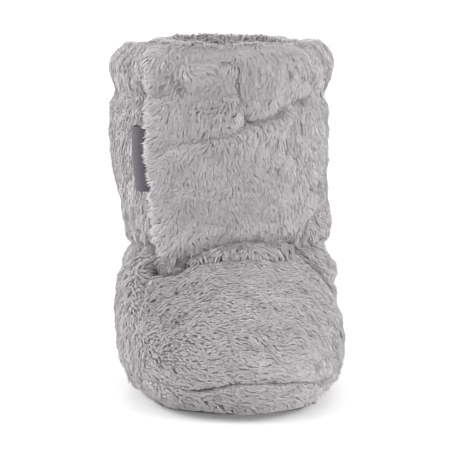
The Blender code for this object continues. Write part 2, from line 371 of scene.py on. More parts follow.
def collar_profile(below_top):
    """How far the sheet swells at its rolled collar, less its turn-in at the rim and its pinch below."""
    roll = COLLAR_BULGE * bump((below_top - COLLAR_ROLL / 2) / COLLAR_ROLL)
    pinch = PINCH_DEPTH * bump((below_top - PINCH_BELOW_TOP) / (COLLAR_ROLL / 2))
    turn_in = COLLAR_TURN_IN * bump(below_top / (COLLAR_ROLL / 2))
    return roll - pinch - turn_in


def sheet_point(distance, z, out=0.0):
    """A point of the shaft's sheet at a distance along it and a height, moved outward from its middle."""
    top = WRAP.height_limits(distance)[1]
    waist = 1.0 - ramp(z, UPPER_LOOPS[-1].side_z, WAIST_TOP)
    x, y = WRAP.plan(distance, out + collar_profile(top - z) - WAIST_DRAW * waist)
    return np.stack(np.broadcast_arrays(x + WAIST_SHIFT * waist, y, z), axis=-1)


def sheet_sides(distance):
    """How far a place on the sheet faces forward and how far it faces the outer side, each from -1 to 1."""
    angle = np.radians(np.interp(distance, WRAP.distance, WRAP.angles))
    return np.cos(angle), -np.sin(angle)


def rim_height(distance):
    """The backing's rim, which lies further below the solid's in front than at the back."""
    forward, outward = sheet_sides(distance)
    front = ramp(forward, 0.0, 1.0)
    back = ramp(-forward, 0.5, 1.0)
    side = np.where(outward > 0, RIM_INSET_OUTER, RIM_INSET_INNER)
    inset = RIM_INSET_FRONT * front + RIM_INSET_BACK * back + side * (1.0 - front - back)
    inset = inset + RIM_INSET_WING * ramp(distance, WRAP.at_angle(OUTER_END_ANGLE), WRAP.at_angle(0.0))
    return WRAP.height_limits(distance)[1] - inset


def tongue_point(across, up, out=0.0):
    """The tongue's middle, standing on the throat's edge, with a rounded top."""
    widen = np.sqrt(1.0 - ramp(up, TONGUE_ROUND_START, TONGUE_ROUND_END) ** 2)
    turn = (across - 0.5) * 2 * TONGUE_HALF_SPAN * widen
    edge = loop_point(UPPER_LOOPS[-1], turn, out - TONGUE_INSET - TONGUE_WALL / 2)
    bottom = edge[..., 2] + 1.5 * GAP
    edge[..., 1] += TONGUE_LEAN * up
    edge[..., 2] = bottom + (TONGUE_TOP - bottom) * up
    return edge


# Creases: a trough along a path, in a piece's own coordinates. A depth below 0 is a ridge.
# Pile deep in a trough gets painted shade, by the share given.
# The shaft's lining gives way to the deepest folds.
# Between creases a face swells and sinks a little, over one wavelength.
Crease = namedtuple("Crease", "path width depth dark", defaults=(1.0,))
PAINTED_SHADE_DEPTHS = (0.4, 2.0)
DEEPEST_FOLD = 3.2
SWELL_LENGTH = 26.0

# On the flap, a path is in millimetres: across from its middle, the inner side positive, and height
FLAP_CREASES = (
    Crease(((9.0, 112.5), (8.6, 101.0), (10.3, 97.0), (11.8, 94.2)), 1.7, 1.5),
    Crease(((11.8, 94.2), (17.5, 94.8), (23.8, 97.4), (33.0, 99.6)), 2.7, 1.9),
    Crease(((11.8, 94.2), (9.2, 92.0), (4.0, 90.0), (-9.8, 87.4), (-17.0, 86.0)), 2.0, 1.3),
    Crease(((-14.0, 116.0), (-9.0, 105.0)), 2.0, 1.6),
    Crease(((-12.0, 113.4), (-6.0, 114.0), (1.6, 115.2), (8.0, 114.2)), 1.3, 1.4),
    Crease(((-12.0, 47.5), (-5.0, 50.0), (2.0, 52.4), (12.0, 53.0), (23.0, 52.2), (28.5, 49.5)), 1.6, 3.0),
    Crease(((0.0, 48.0), (14.0, 49.0), (27.0, 47.6)), 2.2, -1.2),
    Crease(((36.0, 108.0), (35.0, 60.0)), 2.6, -1.1),
    Crease(((30.0, 93.0), (26.0, 84.0)), 5.0, 0.9),
    Crease(((29.0, 110.0), (18.0, 108.0)), 6.0, -1.9),
    Crease(((-20.0, 112.0), (-19.0, 66.0)), 4.0, -0.7),
    Crease(((-10.0, 64.0), (18.0, 66.0)), 9.0, -1.0),
    Crease(((46.0, 58.0), (38.0, 54.0), (30.5, 48.0)), 5.5, 3.3, 0.35),
)

# On the shaft's sides, a path is in degrees round the sheet, the outer side at -90, and height
SIDE_CREASES = (
    Crease(((-60.0, 82.0), (-110.0, 82.0)), 18.0, -1.3),
    Crease(((-260.0, 110.0), (-285.0, 110.0)), 9.0, -0.8),
    Crease(((-42.0, 102.0), (-100.0, 102.0)), 3.0, 1.0),
    Crease(((-40.0, 104.0), (-44.0, 62.0)), 3.0, 0.9),
    Crease(((-255.0, 54.0), (-278.0, 54.0)), 8.0, -1.8),
)

# On the upper, a path is in turns round the foot and levels up from the sole
UPPER_CREASES = (
    Crease(((0.10, 7.3), (0.14, 6.6), (0.18, 6.0), (0.21, 5.4)), 2.6, 3.2, 0.7),
    Crease(((0.21, 5.4), (0.235, 4.7), (0.26, 4.1), (0.28, 3.6)), 2.0, 2.4, 0.9),
    Crease(((0.28, 3.6), (0.31, 2.7), (0.34, 1.2)), 1.7, 1.3),
    Crease(((0.12, 8.0), (0.155, 7.4), (0.20, 6.8), (0.23, 6.2), (0.26, 5.6)), 3.2, -1.9),
    Crease(((0.872, 6.1), (0.857, 5.0), (0.845, 4.0), (0.832, 3.0), (0.83, 2.2)), 1.3, 1.3),
    Crease(((0.80, 5.0), (0.72, 5.0)), 8.0, -1.0),
    Crease(((0.10, 6.0), (0.13, 5.0), (0.15, 3.6)), 4.0, -0.5),
    Crease(((0.872, 6.1), (0.90, 5.9), (0.93, 5.95), (0.955, 6.25), (1.0, 6.5)), 2.2, 5.2),
)


def relief(points, creases, place, seed, swell):
    """How far a face stands out from its plain form, and the painted shade of its creases.

    The form is creased, and faintly uneven as stuffed cloth is.
    """
    height = swell * Waves(seed, SWELL_LENGTH)(points)
    dark = np.zeros(points.shape[:-1])
    for crease in creases:
        path = np.array(crease.path)
        line = place(path[:, 0], path[:, 1])
        nearest = np.full(points.shape[:-1], np.inf)
        for start, end in zip(line[:-1], line[1:]):
            run = end - start
            share = np.clip((points - start) @ run / (run @ run), 0.0, 1.0)
            gap = np.linalg.norm(points - start - share[..., None] * run, axis=-1)
            nearest = np.minimum(nearest, gap)
        drop = crease.depth * np.exp(-((nearest / crease.width) ** 2))
        height -= drop
        # Painted shade on the trough's pile, growing with the crease's depth
        dark = np.maximum(dark, crease.dark * ramp(drop, *PAINTED_SHADE_DEPTHS))
    return height, dark


def flap_place(across, z):
    return sheet_point(WRAP.front - across, z, SHAFT_WALL / 2 - PILE_INSET)


def side_place(angle, z):
    return sheet_point(np.interp(-angle, -WRAP.angles, WRAP.distance), z, SHAFT_WALL / 2 - PILE_INSET)


def upper_place(turn, level):
    return upper_point(turn, level, -PILE_INSET)


# Grids and meshes


def grid_normals(points, closed):
    """Outward normals of a grid of points, closed where its columns run all the way round."""
    if closed:
        along = np.roll(points, -1, axis=0) - np.roll(points, 1, axis=0)
    else:
        along = np.gradient(points, axis=0)
    return unit(np.cross(along, np.gradient(points, axis=1)))


def round_edge(distance, radius):
    """The share of a wall's thickness at a distance from its rounded edge."""
    share = np.clip(distance / radius, 0.0, 1.0)
    return np.sqrt(1.0 - (1.0 - share) ** 2)


Face = namedtuple("Face", "points normals closed")


class Wall:
    """A padded wall on a grid: an outer and an inner face that meet in round edges."""

    def __init__(self, middle, half, closed, outer_relief=0.0, inner_relief=0.0, normals=None):
        if normals is None:
            normals = grid_normals(middle, closed)
        edge = np.clip(half / half.max(), 0.0, 1.0)
        at_edge = outer_relief * (1.0 - edge)
        self.closed = closed
        self.outer = middle + normals * (half + outer_relief)[..., None]
        self.inner = middle + normals * (at_edge - half - inner_relief * edge)[..., None]

    def front(self):
        return Face(self.outer, grid_normals(self.outer, self.closed), self.closed)

    def back(self):
        """The inner face, with its columns in reverse order, so that its normals point inward."""
        points = self.inner[::-1]
        return Face(points, grid_normals(points, self.closed), self.closed)

    def mesh(self, name, outer_surface, inner_surface, lined_from=0):
        """Both faces as one mesh. The outer surface reaches over the edge to where the inner one starts."""
        columns, rows = self.outer.shape[:2]
        index = np.arange(columns * rows).reshape(columns, rows)
        if self.closed:
            index = np.concatenate((index, index[:1]))
        corners = (index[:-1, :-1], index[1:, :-1], index[1:, 1:], index[:-1, 1:])
        quads = np.stack(corners, axis=-1).reshape(-1, 4)
        faces = np.concatenate((quads, quads[:, ::-1] + columns * rows))
        points = np.concatenate((self.outer.reshape(-1, 3), self.inner.reshape(-1, 3)))
        lined = np.tile(np.arange(rows - 1) >= lined_from, len(index) - 1)
        slots = np.concatenate((np.zeros(len(quads)), lined))
        return make_mesh(name, points, faces, (outer_surface, inner_surface), slots, weld=True)


def add_object(name, data):
    """A new object in the scene."""
    made = bpy.data.objects.new(name, data)
    bpy.context.scene.collection.objects.link(made)
    return made


def make_mesh(name, points, faces, surfaces, slots=None, weld=False):
    """A mesh object from points in millimetres and faces of one size."""
    mesh = bpy.data.meshes.new(name)
    sides = faces.shape[1]
    mesh.vertices.add(len(points))
    mesh.vertices.foreach_set("co", (points * MM).astype(np.float32).ravel())
    mesh.loops.add(faces.size)
    mesh.loops.foreach_set("vertex_index", faces.astype(np.int32).ravel())
    mesh.polygons.add(len(faces))
    mesh.polygons.foreach_set("loop_start", np.arange(0, faces.size, sides, dtype=np.int32))
    for surface in surfaces:
        mesh.materials.append(surface)
    if slots is not None:
        mesh.polygons.foreach_set("material_index", slots.astype(np.int32))
    mesh.update(calc_edges=True)
    mesh.validate()
    made = add_object(name, mesh)
    if weld:
        weld_edges(mesh)
    mesh.shade_smooth()
    return made


WELD_DISTANCE = 0.002


def weld_edges(mesh):
    """Joins the two faces of a wall where they meet."""
    shape = bmesh.new()
    shape.from_mesh(mesh)
    bmesh.ops.remove_doubles(shape, verts=shape.verts, dist=WELD_DISTANCE * MM)
    shape.to_mesh(mesh)
    shape.free()


def dress(piece, slot, *nodes):
    """The piece rides on the shoe and stands for the solids it replaces. The slot is not used."""
    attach(piece, "root")
    if nodes:
        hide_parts(*nodes)


# Materials

CLOTH_SPECULAR = 0.25
SHEEN_ROUGHNESS = 0.5
NOISE_DETAIL = 3.0


def fill(node, values):
    """Sets inputs of a node by name."""
    for name, value in values.items():
        node.inputs[name].default_value = value


def new_material(name, roughness, sheen=0.0):
    made = bpy.data.materials.new(name)
    made.use_nodes = True
    shader = made.node_tree.nodes["Principled BSDF"]
    fill(shader, {"Roughness": roughness, "Specular IOR Level": CLOTH_SPECULAR})
    fill(shader, {"Sheen Weight": sheen, "Sheen Roughness": SHEEN_ROUGHNESS})
    return made, made.node_tree, shader


def add_node(tree, kind, **values):
    node = tree.nodes.new(kind)
    for name, value in values.items():
        setattr(node, name, value)
    return node


def colour_ramp(tree, source, stops):
    """A colour for each value of a source, from (position, colour) stops."""
    node = add_node(tree, "ShaderNodeValToRGB")
    while len(node.color_ramp.elements) < len(stops):
        node.color_ramp.elements.new(1.0)
    for element, (position, colour) in zip(node.color_ramp.elements, stops):
        element.position = position
        element.color = (*colour, 1.0)
    tree.links.new(source, node.inputs["Fac"])
    return node.outputs["Color"]


def noise(tree, size):
    """Noise whose grains are about size millimetres across."""
    place = add_node(tree, "ShaderNodeTexCoord")
    node = add_node(tree, "ShaderNodeTexNoise")
    fill(node, {"Scale": 1.0 / (size * MM), "Detail": NOISE_DETAIL})
    tree.links.new(place.outputs["Object"], node.inputs["Vector"])
    return node.outputs["Fac"]


def weave(tree, shader, pattern, stops, depth, strength):
    """Colour and bump from one pattern, with the bump's depth in millimetres."""
    tree.links.new(colour_ramp(tree, pattern, stops), shader.inputs["Base Color"])
    node = add_node(tree, "ShaderNodeBump")
    fill(node, {"Distance": depth * MM, "Strength": strength})
    tree.links.new(pattern, node.inputs["Height"])
    tree.links.new(node.outputs["Normal"], shader.inputs["Normal"])


def shade(colour, factor):
    return tuple(channel * factor for channel in colour)


def shades(colour, factors):
    """Stops for a colour ramp: places, and the colour made darker or lighter at each."""
    return [(place, shade(colour, factor)) for place, factor in factors]


PLUSH = (0.610, 0.565, 0.590)
FLEECE = (0.30, 0.29, 0.315)
PANEL_GREY = (0.47, 0.465, 0.49)
RIBBON_GREY = (0.115, 0.11, 0.125)
SOLE_GREY = (0.040, 0.038, 0.037)
THREAD_GREY = (0.17, 0.165, 0.18)
WHITE = (1.0, 1.0, 1.0)

# Shades of a fibre from root to tip, with painted shade at the root between the locks; of a lock by its
# tone, which carries painted shade in creases; and of a ribbon across its ribs
FIBRE_SHADES = ((0.0, 0.92), (0.45, 0.98), (1.0, 1.04))
LOCK_SHADES = ((0.0, 0.5), (0.25, 0.84), (1.0, 1.0))
RIB_SHADES = ((0.0, 0.8), (1.0, 1.2))
RIB_SPACING = 2.2
RIB_WAVER = 0.6

# How much light passes into the pile, and how deep
PILE_GLOW = 0.6
PILE_GLOW_DEPTH = 1.5

# Cloths, with the size of a grain and the depth of its bump in millimetres
Cloth = namedtuple("Cloth", "colour grain depth roughness sheen spread")
CLOTHS = {
    # The backing is the plush's colour at 0.7: painted shade where it shows between the locks and at the
    # seam
    "plush_backing": Cloth(shade(PLUSH, 0.7), 1.2, 0.3, 1.0, 0.0, 0.1),
    "fleece_lining": Cloth(FLEECE, 1.0, 0.25, 0.95, 0.3, 0.25),
    "closing_tape": Cloth(PANEL_GREY, 0.5, 0.3, 0.85, 0.1, 0.18),
    "thread": Cloth(THREAD_GREY, 0.3, 0.05, 0.7, 0.0, 0.25),
    "sole_suede": Cloth(SOLE_GREY, 0.6, 0.15, 0.95, 0.1, 0.35),
}


def pile_material(name, colour):
    """Fibres with painted shade at the root and pale tips; locks vary in tone, with painted shade in
    creases.
    """
    made, tree, shader = new_material(name, roughness=0.9, sheen=0.25)
    fill(shader, {"Subsurface Weight": PILE_GLOW, "Subsurface Radius": WHITE})
    fill(shader, {"Subsurface Scale": PILE_GLOW_DEPTH * MM})
    lock = add_node(tree, "ShaderNodeAttribute", attribute_name="lock")
    split = add_node(tree, "ShaderNodeSeparateXYZ")
    tree.links.new(lock.outputs["Vector"], split.inputs["Vector"])
    fibre = colour_ramp(tree, split.outputs["Y"], shades(colour, FIBRE_SHADES))
    tone = colour_ramp(tree, split.outputs["X"], shades(WHITE, LOCK_SHADES))
    mix = add_node(tree, "ShaderNodeMix", data_type="RGBA", blend_type="MULTIPLY")
    mix.inputs["Factor"].default_value = 1.0
    tree.links.new(fibre, mix.inputs["A"])
    tree.links.new(tone, mix.inputs["B"])
    tree.links.new(mix.outputs["Result"], shader.inputs["Base Color"])
    return made


def mottled_material(name, cloth):
    """A napped cloth: mottled colour and a fine grain of one size."""
    made, tree, shader = new_material(name, cloth.roughness, cloth.sheen)
    stops = shades(cloth.colour, ((0.25, 1.0 - cloth.spread), (0.75, 1.0 + cloth.spread)))
    weave(tree, shader, noise(tree, cloth.grain), stops, cloth.depth, strength=0.8)
    return made


def ribbon_material():
    """Woven ribbon with fine ribs across its length."""
    made, tree, shader = new_material("woven_ribbon", roughness=0.6, sheen=0.1)
    place = add_node(tree, "ShaderNodeTexCoord")
    ribs = add_node(tree, "ShaderNodeTexWave", wave_type="BANDS", bands_direction="Z")
    fill(ribs, {"Scale": 1.0 / (RIB_SPACING * MM), "Distortion": RIB_WAVER})
    tree.links.new(place.outputs["Object"], ribs.inputs["Vector"])
    stops = shades(RIBBON_GREY, RIB_SHADES)
    weave(tree, shader, ribs.outputs["Fac"], stops, depth=0.12, strength=0.7)
    return made


# Pile

# A lock is a bent spindle: three points round its bend, then its root and its tip
LOCK_SIDES = 3
LOCK_ROOT = LOCK_SIDES
LOCK_TIP = LOCK_SIDES + 1
LOCK_POINTS = LOCK_SIDES + 2
LOCK_BEND = 0.45
LOCK_FACES = np.array(
    [(LOCK_ROOT, (k + 1) % LOCK_SIDES, k) for k in range(LOCK_SIDES)]
    + [(k, (k + 1) % LOCK_SIDES, LOCK_TIP) for k in range(LOCK_SIDES)]
)
LOCK_HEIGHTS = np.array((LOCK_BEND, LOCK_BEND, LOCK_BEND, 0.0, 1.0))

# Locks to a clump, how far a root is sunk in the backing, and the lowest that a lock hangs
CLUMP = 10
ROOT_DEPTH = 0.4
FLOOR_CLEARANCE = 0.8

# How locks differ: slow changes with a size and a wavelength, and a spread or limits for each lock
DRIFT_LENGTH = 10.0
FINE_DRIFT = 0.7
FINE_DRIFT_LENGTH = 4.5
TURN_SPREAD = 0.18
SWING = 0.12
SWING_LENGTH = 6.0
SWING_SPREAD = 0.05
LENGTH_LIMITS = (0.75, 1.1)
GROWTH = 0.07
GROWTH_LENGTH = 7.0
RADIUS_LIMITS = (0.75, 1.2)
PULL_LIMITS = (0.3, 1.0)
BEND_PULL = 0.3
MIDDLE_TONE = 0.6
# How much painted shade a crease or the seam puts on a lock's tone
CREASE_PAINTED_SHADE = 0.7
PATCH_TONE = 0.14
PATCH_LENGTH = 15.0
TONE_SPREAD = 0.07

# How far a lock's soft normals lean out to its sides and to its tip, and its place on the map of its shades
SIDE_LEAN = 0.1
TIP_LEAN = 0.15
MAP_MARGIN = 0.05
MAP_SPREAD = 0.004

Pile = namedtuple("Pile", "count length radius root_lift tip_lift wander clump seed")
PILES = {
    "vamp_pile": Pile(33000, 3.4, 0.27, 0.52, 0.1, 0.24, 0.3, 111),
    "heel_pile": Pile(21500, 3.5, 0.3, 0.6, 0.12, 0.2, 0.35, 201),
    "flap_pile": Pile(33000, 3.6, 0.28, 0.62, 0.14, 0.3, 0.6, 301),
    "outer_side_pile": Pile(19000, 3.4, 0.25, 0.6, 0.12, 0.16, 0.3, 401),
    "back_pile": Pile(24500, 3.5, 0.29, 0.62, 0.13, 0.2, 0.4, 451),
    "wing_pile": Pile(2600, 3.0, 0.28, 0.7, 0.15, 0.16, 0.35, 471),
    "rim_pile": Pile(6500, 2.8, 0.33, 0.7, 0.2, 0.3, 0.3, 651),
    "lining_nap": Pile(4000, 1.8, 0.34, 0.9, 0.35, 0.8, 0.2, 601),
    "tongue_pile": Pile(2400, 3.0, 0.34, 0.8, 0.2, 0.16, 0.4, 501),
}


def scatter(face, weights, count, draw):
    """Random places on a face, as points, normals and their place on the grid."""
    points, normals = face.points, face.normals
    if face.closed:
        points = np.concatenate((points, points[:1]))
        normals = np.concatenate((normals, normals[:1]))
    diagonals = np.cross(points[1:, 1:] - points[:-1, :-1], points[:-1, 1:] - points[1:, :-1])
    share = np.cumsum((np.linalg.norm(diagonals, axis=-1) * weights).ravel())
    picks = np.searchsorted(share, (np.arange(count) + draw.random(count)) / count * share[-1])
    column, row = np.divmod(picks, points.shape[1] - 1)
    a, b = draw.random((2, count))

    def between(values):
        low = values[column, row] * (1 - b)[:, None] + values[column, row + 1] * b[:, None]
        high = values[column + 1, row] * (1 - b)[:, None] + values[column + 1, row + 1] * b[:, None]
        return low * (1 - a)[:, None] + high * a[:, None]

    return between(points), unit(between(normals)), column + a, row + b


def turned(vectors, axes, angles):
    """Vectors turned about axes at right angles to them."""
    return vectors * np.cos(angles)[:, None] + np.cross(axes, vectors) * np.sin(angles)[:, None]


def to_leaders(roots, count):
    """For each lock, the nearest of the clumps' leaders, which are spread evenly over the locks."""
    leaders = np.linspace(0, len(roots) - 1, count).astype(int)
    tree = KDTree(count)
    for place, leader in enumerate(leaders):
        tree.insert(roots[leader], place)
    tree.balance()
    return leaders[[tree.find(root)[1] for root in roots]]


def on_grid(values, column, row):
    """The values of a grid at the cells of places on it."""
    return values[np.minimum(column.astype(int), len(values) - 1), row.astype(int)]


def grow_pile(name, face, weights, flow, surface):
    """Pile on a face: bent, tapered locks that lie along the flow and lean together in clumps."""
    pile = PILES[name]
    draw = np.random.default_rng(pile.seed)
    roots, normals, column, row = scatter(face, weights, pile.count, draw)

    def waves(number, wavelength):
        """One of the pile's slow changes, at each root."""
        return Waves(pile.seed + number, wavelength)(roots)

    drift = waves(1, DRIFT_LENGTH) + FINE_DRIFT * waves(2, FINE_DRIFT_LENGTH)
    ways, lift_more, stretch, depth = flow(roots, normals, column, row)
    ways = unit(ways - (ways * normals).sum(axis=1)[:, None] * normals)
    ways = turned(ways, normals, pile.wander * drift + draw.normal(0.0, TURN_SPREAD, pile.count))
    swing = lift_more + SWING * waves(3, SWING_LENGTH) + draw.normal(0.0, SWING_SPREAD, pile.count)
    lengths = pile.length * stretch * draw.uniform(*LENGTH_LIMITS, pile.count)
    lengths *= 1.0 + GROWTH * waves(4, GROWTH_LENGTH)

    def step(lift, share):
        return (ways * np.cos(lift)[:, None] + normals * np.sin(lift)[:, None]) * (lengths * share)[:, None]

    bends = roots + step(pile.root_lift + swing, LOCK_BEND)
    tips = bends + step(pile.tip_lift + swing, 1.0 - LOCK_BEND)
    leader = to_leaders(roots, max(1, pile.count // CLUMP))
    pull = (pile.clump * draw.uniform(*PULL_LIMITS, pile.count))[:, None]
    bends += BEND_PULL * pull * (bends[leader] - bends)
    tips += pull * (tips[leader] - tips)
    roots = roots - ROOT_DEPTH * normals

    aim = unit(tips - roots)
    side = unit(np.cross(aim, normals))
    below = np.cross(aim, side)
    radii = pile.radius * draw.uniform(*RADIUS_LIMITS, pile.count)
    points = np.empty((pile.count, LOCK_POINTS, 3))
    shading = np.empty((pile.count, LOCK_POINTS, 3))
    for k in range(LOCK_SIDES):
        angle = math.pi / 2 + 2 * math.pi * k / LOCK_SIDES
        spoke = side * math.cos(angle) + below * math.sin(angle)
        points[:, k] = bends + spoke * radii[:, None]
        shading[:, k] = unit(SIDE_LEAN * spoke + normals)
    points[:, LOCK_ROOT] = roots
    points[:, LOCK_TIP] = tips
    points[..., 2] = np.maximum(points[..., 2], FLOOR_CLEARANCE + sole_lift(points[..., 1]))
    shading[:, LOCK_ROOT] = normals
    shading[:, LOCK_TIP] = unit(normals + TIP_LEAN * aim)

    patches = PATCH_TONE * waves(5, PATCH_LENGTH) + draw.normal(0.0, TONE_SPREAD, pile.count)
    # A lock's random tone, less painted shade in creases and the seam, plus painted light near the shaft's
    # rim
    tone = np.clip(MIDDLE_TONE + patches - CREASE_PAINTED_SHADE * depth, 0.0, 1.0)
    faces = (LOCK_FACES[None] + LOCK_POINTS * np.arange(pile.count)[:, None, None]).reshape(-1, 3)
    made = make_mesh(name, points.reshape(-1, 3), faces, (surface,))
    write_locks(made.data, tone, shading.reshape(-1, 3))
    return made


def write_locks(mesh, tone, shading):
    """Each lock's tone and height for its material, a map of the same two values, and soft normals."""
    values = np.zeros((len(tone), LOCK_POINTS, 3), np.float32)
    values[..., 0] = tone[:, None]
    values[..., 1] = LOCK_HEIGHTS
    flat = values.reshape(-1, 3)
    mesh.attributes.new("lock", "FLOAT_VECTOR", "POINT").data.foreach_set("vector", flat.ravel())
    shifts = np.zeros((LOCK_POINTS, 2))
    shifts[:LOCK_SIDES] = ((-MAP_SPREAD, 0.0), (MAP_SPREAD, 0.0), (0.0, MAP_SPREAD))
    places = MAP_MARGIN + (1.0 - 2 * MAP_MARGIN) * flat[:, :2] + np.tile(shifts, (len(tone), 1))
    corners = np.empty(len(mesh.loops), np.int32)
    mesh.loops.foreach_get("vertex_index", corners)
    chart = mesh.uv_layers.new(name="OFBake")
    chart.uv.foreach_set("vector", places[corners].astype(np.float32).ravel())
    mesh.normals_split_custom_set_from_vertices(shading)


# Pieces

# How far a place faces the outer side, or a face looks down or back, before it counts as doing so
OUTER_SIDE = (0.3, 0.9)
FACING = (0.1, 0.6)

# The upper's grid: columns round it, then rows below, beside and above the toe seam
UPPER_COLUMNS = 180
ROWS_BELOW_SEAM = 8
ROWS_AT_SEAM = 9
ROWS_ABOVE_SEAM = 36
SEAM_ROWS_REACH = 0.2
SEAM_ROWS_CLEAR = 0.3

# Where the upper's pile changes: at these levels, and at these places forward and across in millimetres
BASE_LEVELS = (1.0, 0.2)
DENSE_LEVELS = (0.6, 0.2)
THIN_LEVELS = (7.2, 8.2)
TOE_TOP_LEVELS = (1.8, 3.0)
REAR = (-8.0, 20.0)
HEEL_START = -0.1
PARTING = -20.0
PARTING_HALF_WIDTH = 16.0
OUTER_HALF = (PARTING - 4.0, PARTING - 18.0)
INNER_HALF = (4.0, 30.0)
VAMP_WAY = np.array((1.0, -0.15, -0.12))
HEEL_WAY = np.array((0.0, 0.25, -1.0))


def build_upper(plush, backing, fleece):
    turns = np.arange(UPPER_COLUMNS) / UPPER_COLUMNS
    inset = UPPER_WALL - PILE_INSET
    below = spaced(0.0, SEAM_LEVEL - SEAM_ROWS_CLEAR, ROWS_BELOW_SEAM, SOLE_EDGE_LEVELS)
    beside = np.linspace(SEAM_LEVEL - SEAM_ROWS_REACH, SEAM_LEVEL + SEAM_ROWS_REACH, ROWS_AT_SEAM)
    above = spaced(SEAM_LEVEL + SEAM_ROWS_CLEAR, THROAT_LEVEL, ROWS_ABOVE_SEAM, 0.0, THROAT_EDGE_LEVELS)
    levels = np.concatenate((below, beside, above))
    turn, level = np.meshgrid(turns, levels, indexing="ij")
    at_seam = bump((level - SEAM_LEVEL) / SEAM_VALLEY_LEVELS)
    level = level - seam_sag(turn) * bump((level - SEAM_LEVEL) / SEAM_SAG_LEVELS)
    outer_side = ramp(-np.sin(2 * math.pi * turn), *OUTER_SIDE)
    notch = UPPER_NOTCH * outer_side * bump((THROAT_LEVEL - level) / UPPER_NOTCH_LEVELS)
    middle = upper_point(turn, level, -PILE_INSET - inset / 2 - notch)
    edge = round_edge(level, SOLE_EDGE_LEVELS) * round_edge(THROAT_LEVEL - level, THROAT_EDGE_LEVELS)
    # Creases, and the painted shade that their troughs put on the pile
    folds, dark = relief(upper_place(turn, level), UPPER_CREASES, upper_place, seed=11, swell=0.35)
    folds -= SEAM_VALLEY * at_seam
    # The seam's valley also gets painted shade on its pile
    dark = np.maximum(dark, SEAM_PAINTED_SHADE * at_seam)
    wall = Wall(middle, inset / 2 * edge, True, folds, -folds)
    dress(wall.mesh("upper_wall", backing, fleece), "plush", "upper")

    cell_turn = (turns + 0.5 / UPPER_COLUMNS)[:, None]
    cell_level = (levels[1:] + levels[:-1])[None, :] / 2
    toward_toe = np.cos(2 * math.pi * cell_turn)
    density = 1.0 - 0.5 * ramp(cell_level, *THIN_LEVELS) + ramp(cell_level, *DENSE_LEVELS)
    density = np.where(np.abs(cell_level - SEAM_LEVEL) < SEAM_BARE_LEVELS, 0.0, density)
    in_front = toward_toe > HEEL_START

    def flow(points, normals, column, row):
        """Inward across the vamp, end on at its outer half, and down at the sides, base and heel."""
        level = np.interp(row, np.arange(len(levels)), levels)
        x = points[:, 0]
        rear = ramp(points[:, 1], *REAR)
        base = ramp(level, *BASE_LEVELS)
        under = ramp(-normals[:, 2], *FACING)
        outer = ramp(x, *OUTER_HALF)
        inner = ramp(x, *INNER_HALF)
        ways = VAMP_WAY * ((1 - 1.2 * outer) * (1 - rear))[:, None]
        ways += DOWN * ((outer + 0.5 * inner) * (1 - rear) + 4.0 * base)[:, None]
        ways += HEEL_WAY * rear[:, None]
        end_on = bump((x - PARTING) / PARTING_HALF_WIDTH) * (1 - rear) * ramp(level, *TOE_TOP_LEVELS)
        by_seam = bump((level - SEAM_LEVEL) / SEAM_SHORT_LEVELS)
        # Painted shade from creases and the seam, which also makes the locks there shorter and flatter
        depth = on_grid(dark, column, row)
        toe_lift = sole_lift(points[:, 1]) / TOE_SPRING
        lift_more = 0.15 * end_on + 0.2 * under + (0.75 * toe_lift - 0.25) * base - 0.1 * depth
        hang = 0.3 + 0.4 * toe_lift
        return ways, lift_more, 1.0 + hang * base - 0.1 * under - 0.45 * by_seam - 0.4 * depth, depth

    for name, here in (("vamp_pile", in_front), ("heel_pile", ~in_front)):
        dress(grow_pile(name, wall.front(), np.where(here, density, 0.0), flow, plush), "plush")


# The shaft's grid: columns along the sheet and rows down it
SHEET_COLUMNS = 150
SHEET_ROWS = 46

# Where one piece of the shaft's pile ends and the next begins: angles, and rows from the rim
WING_END = OUTER_END_ANGLE + 12.0
SIDE_END = -125.0
BACK_END = -292.0
FLAP_END = OUTER_END_ANGLE - 365.0
WING_ROWS = 14
NAP_ROWS = 18

# Where the shaft's pile changes: rows from the rim or from the hem, and millimetres across the flap and up
EDGE_ROWS = (9.0, 3.0)
RIM_DENSE_ROWS = (9.0, 5.0)
RIM_DENSER = 0.6
BACK_RIM_ROWS = (7.0, 3.0)
HEM_MIDDLE = 14.0
HEM_HALF_WIDTH = 20.0
FRINGE = 7.0
FAN_MIDDLE = 6.0
FAN_REACH = 28.0
FAN_END = (60.0, 42.0)
LOBE_HEIGHTS = (98.0, 106.0)
LOBE_ACROSS = (14.0, 24.0)
FRINGE_WAY = np.array((-2.2, 0.9, 0.0))
BACK_RIM_WAY = np.array((0.0, -0.8, 1.5))
Patch = namedtuple("Patch", "across z half_width half_height")
COMBED = Patch(-4.0, 112.0, 9.0, 6.0)
END_ON = Patch(1.0, 100.0, 14.0, 11.0)


def in_patch(patch, across, z):
    """1 in the middle of a patch of the flap, falling to 0 at its edge."""
    return bump((across - patch.across) / patch.half_width) * bump((z - patch.z) / patch.half_height)


def inside_flow(points, normals, column, row):
    """Straight down, the same everywhere."""
    return np.tile(DOWN, (len(points), 1)), 0.0, 1.0, 0.0


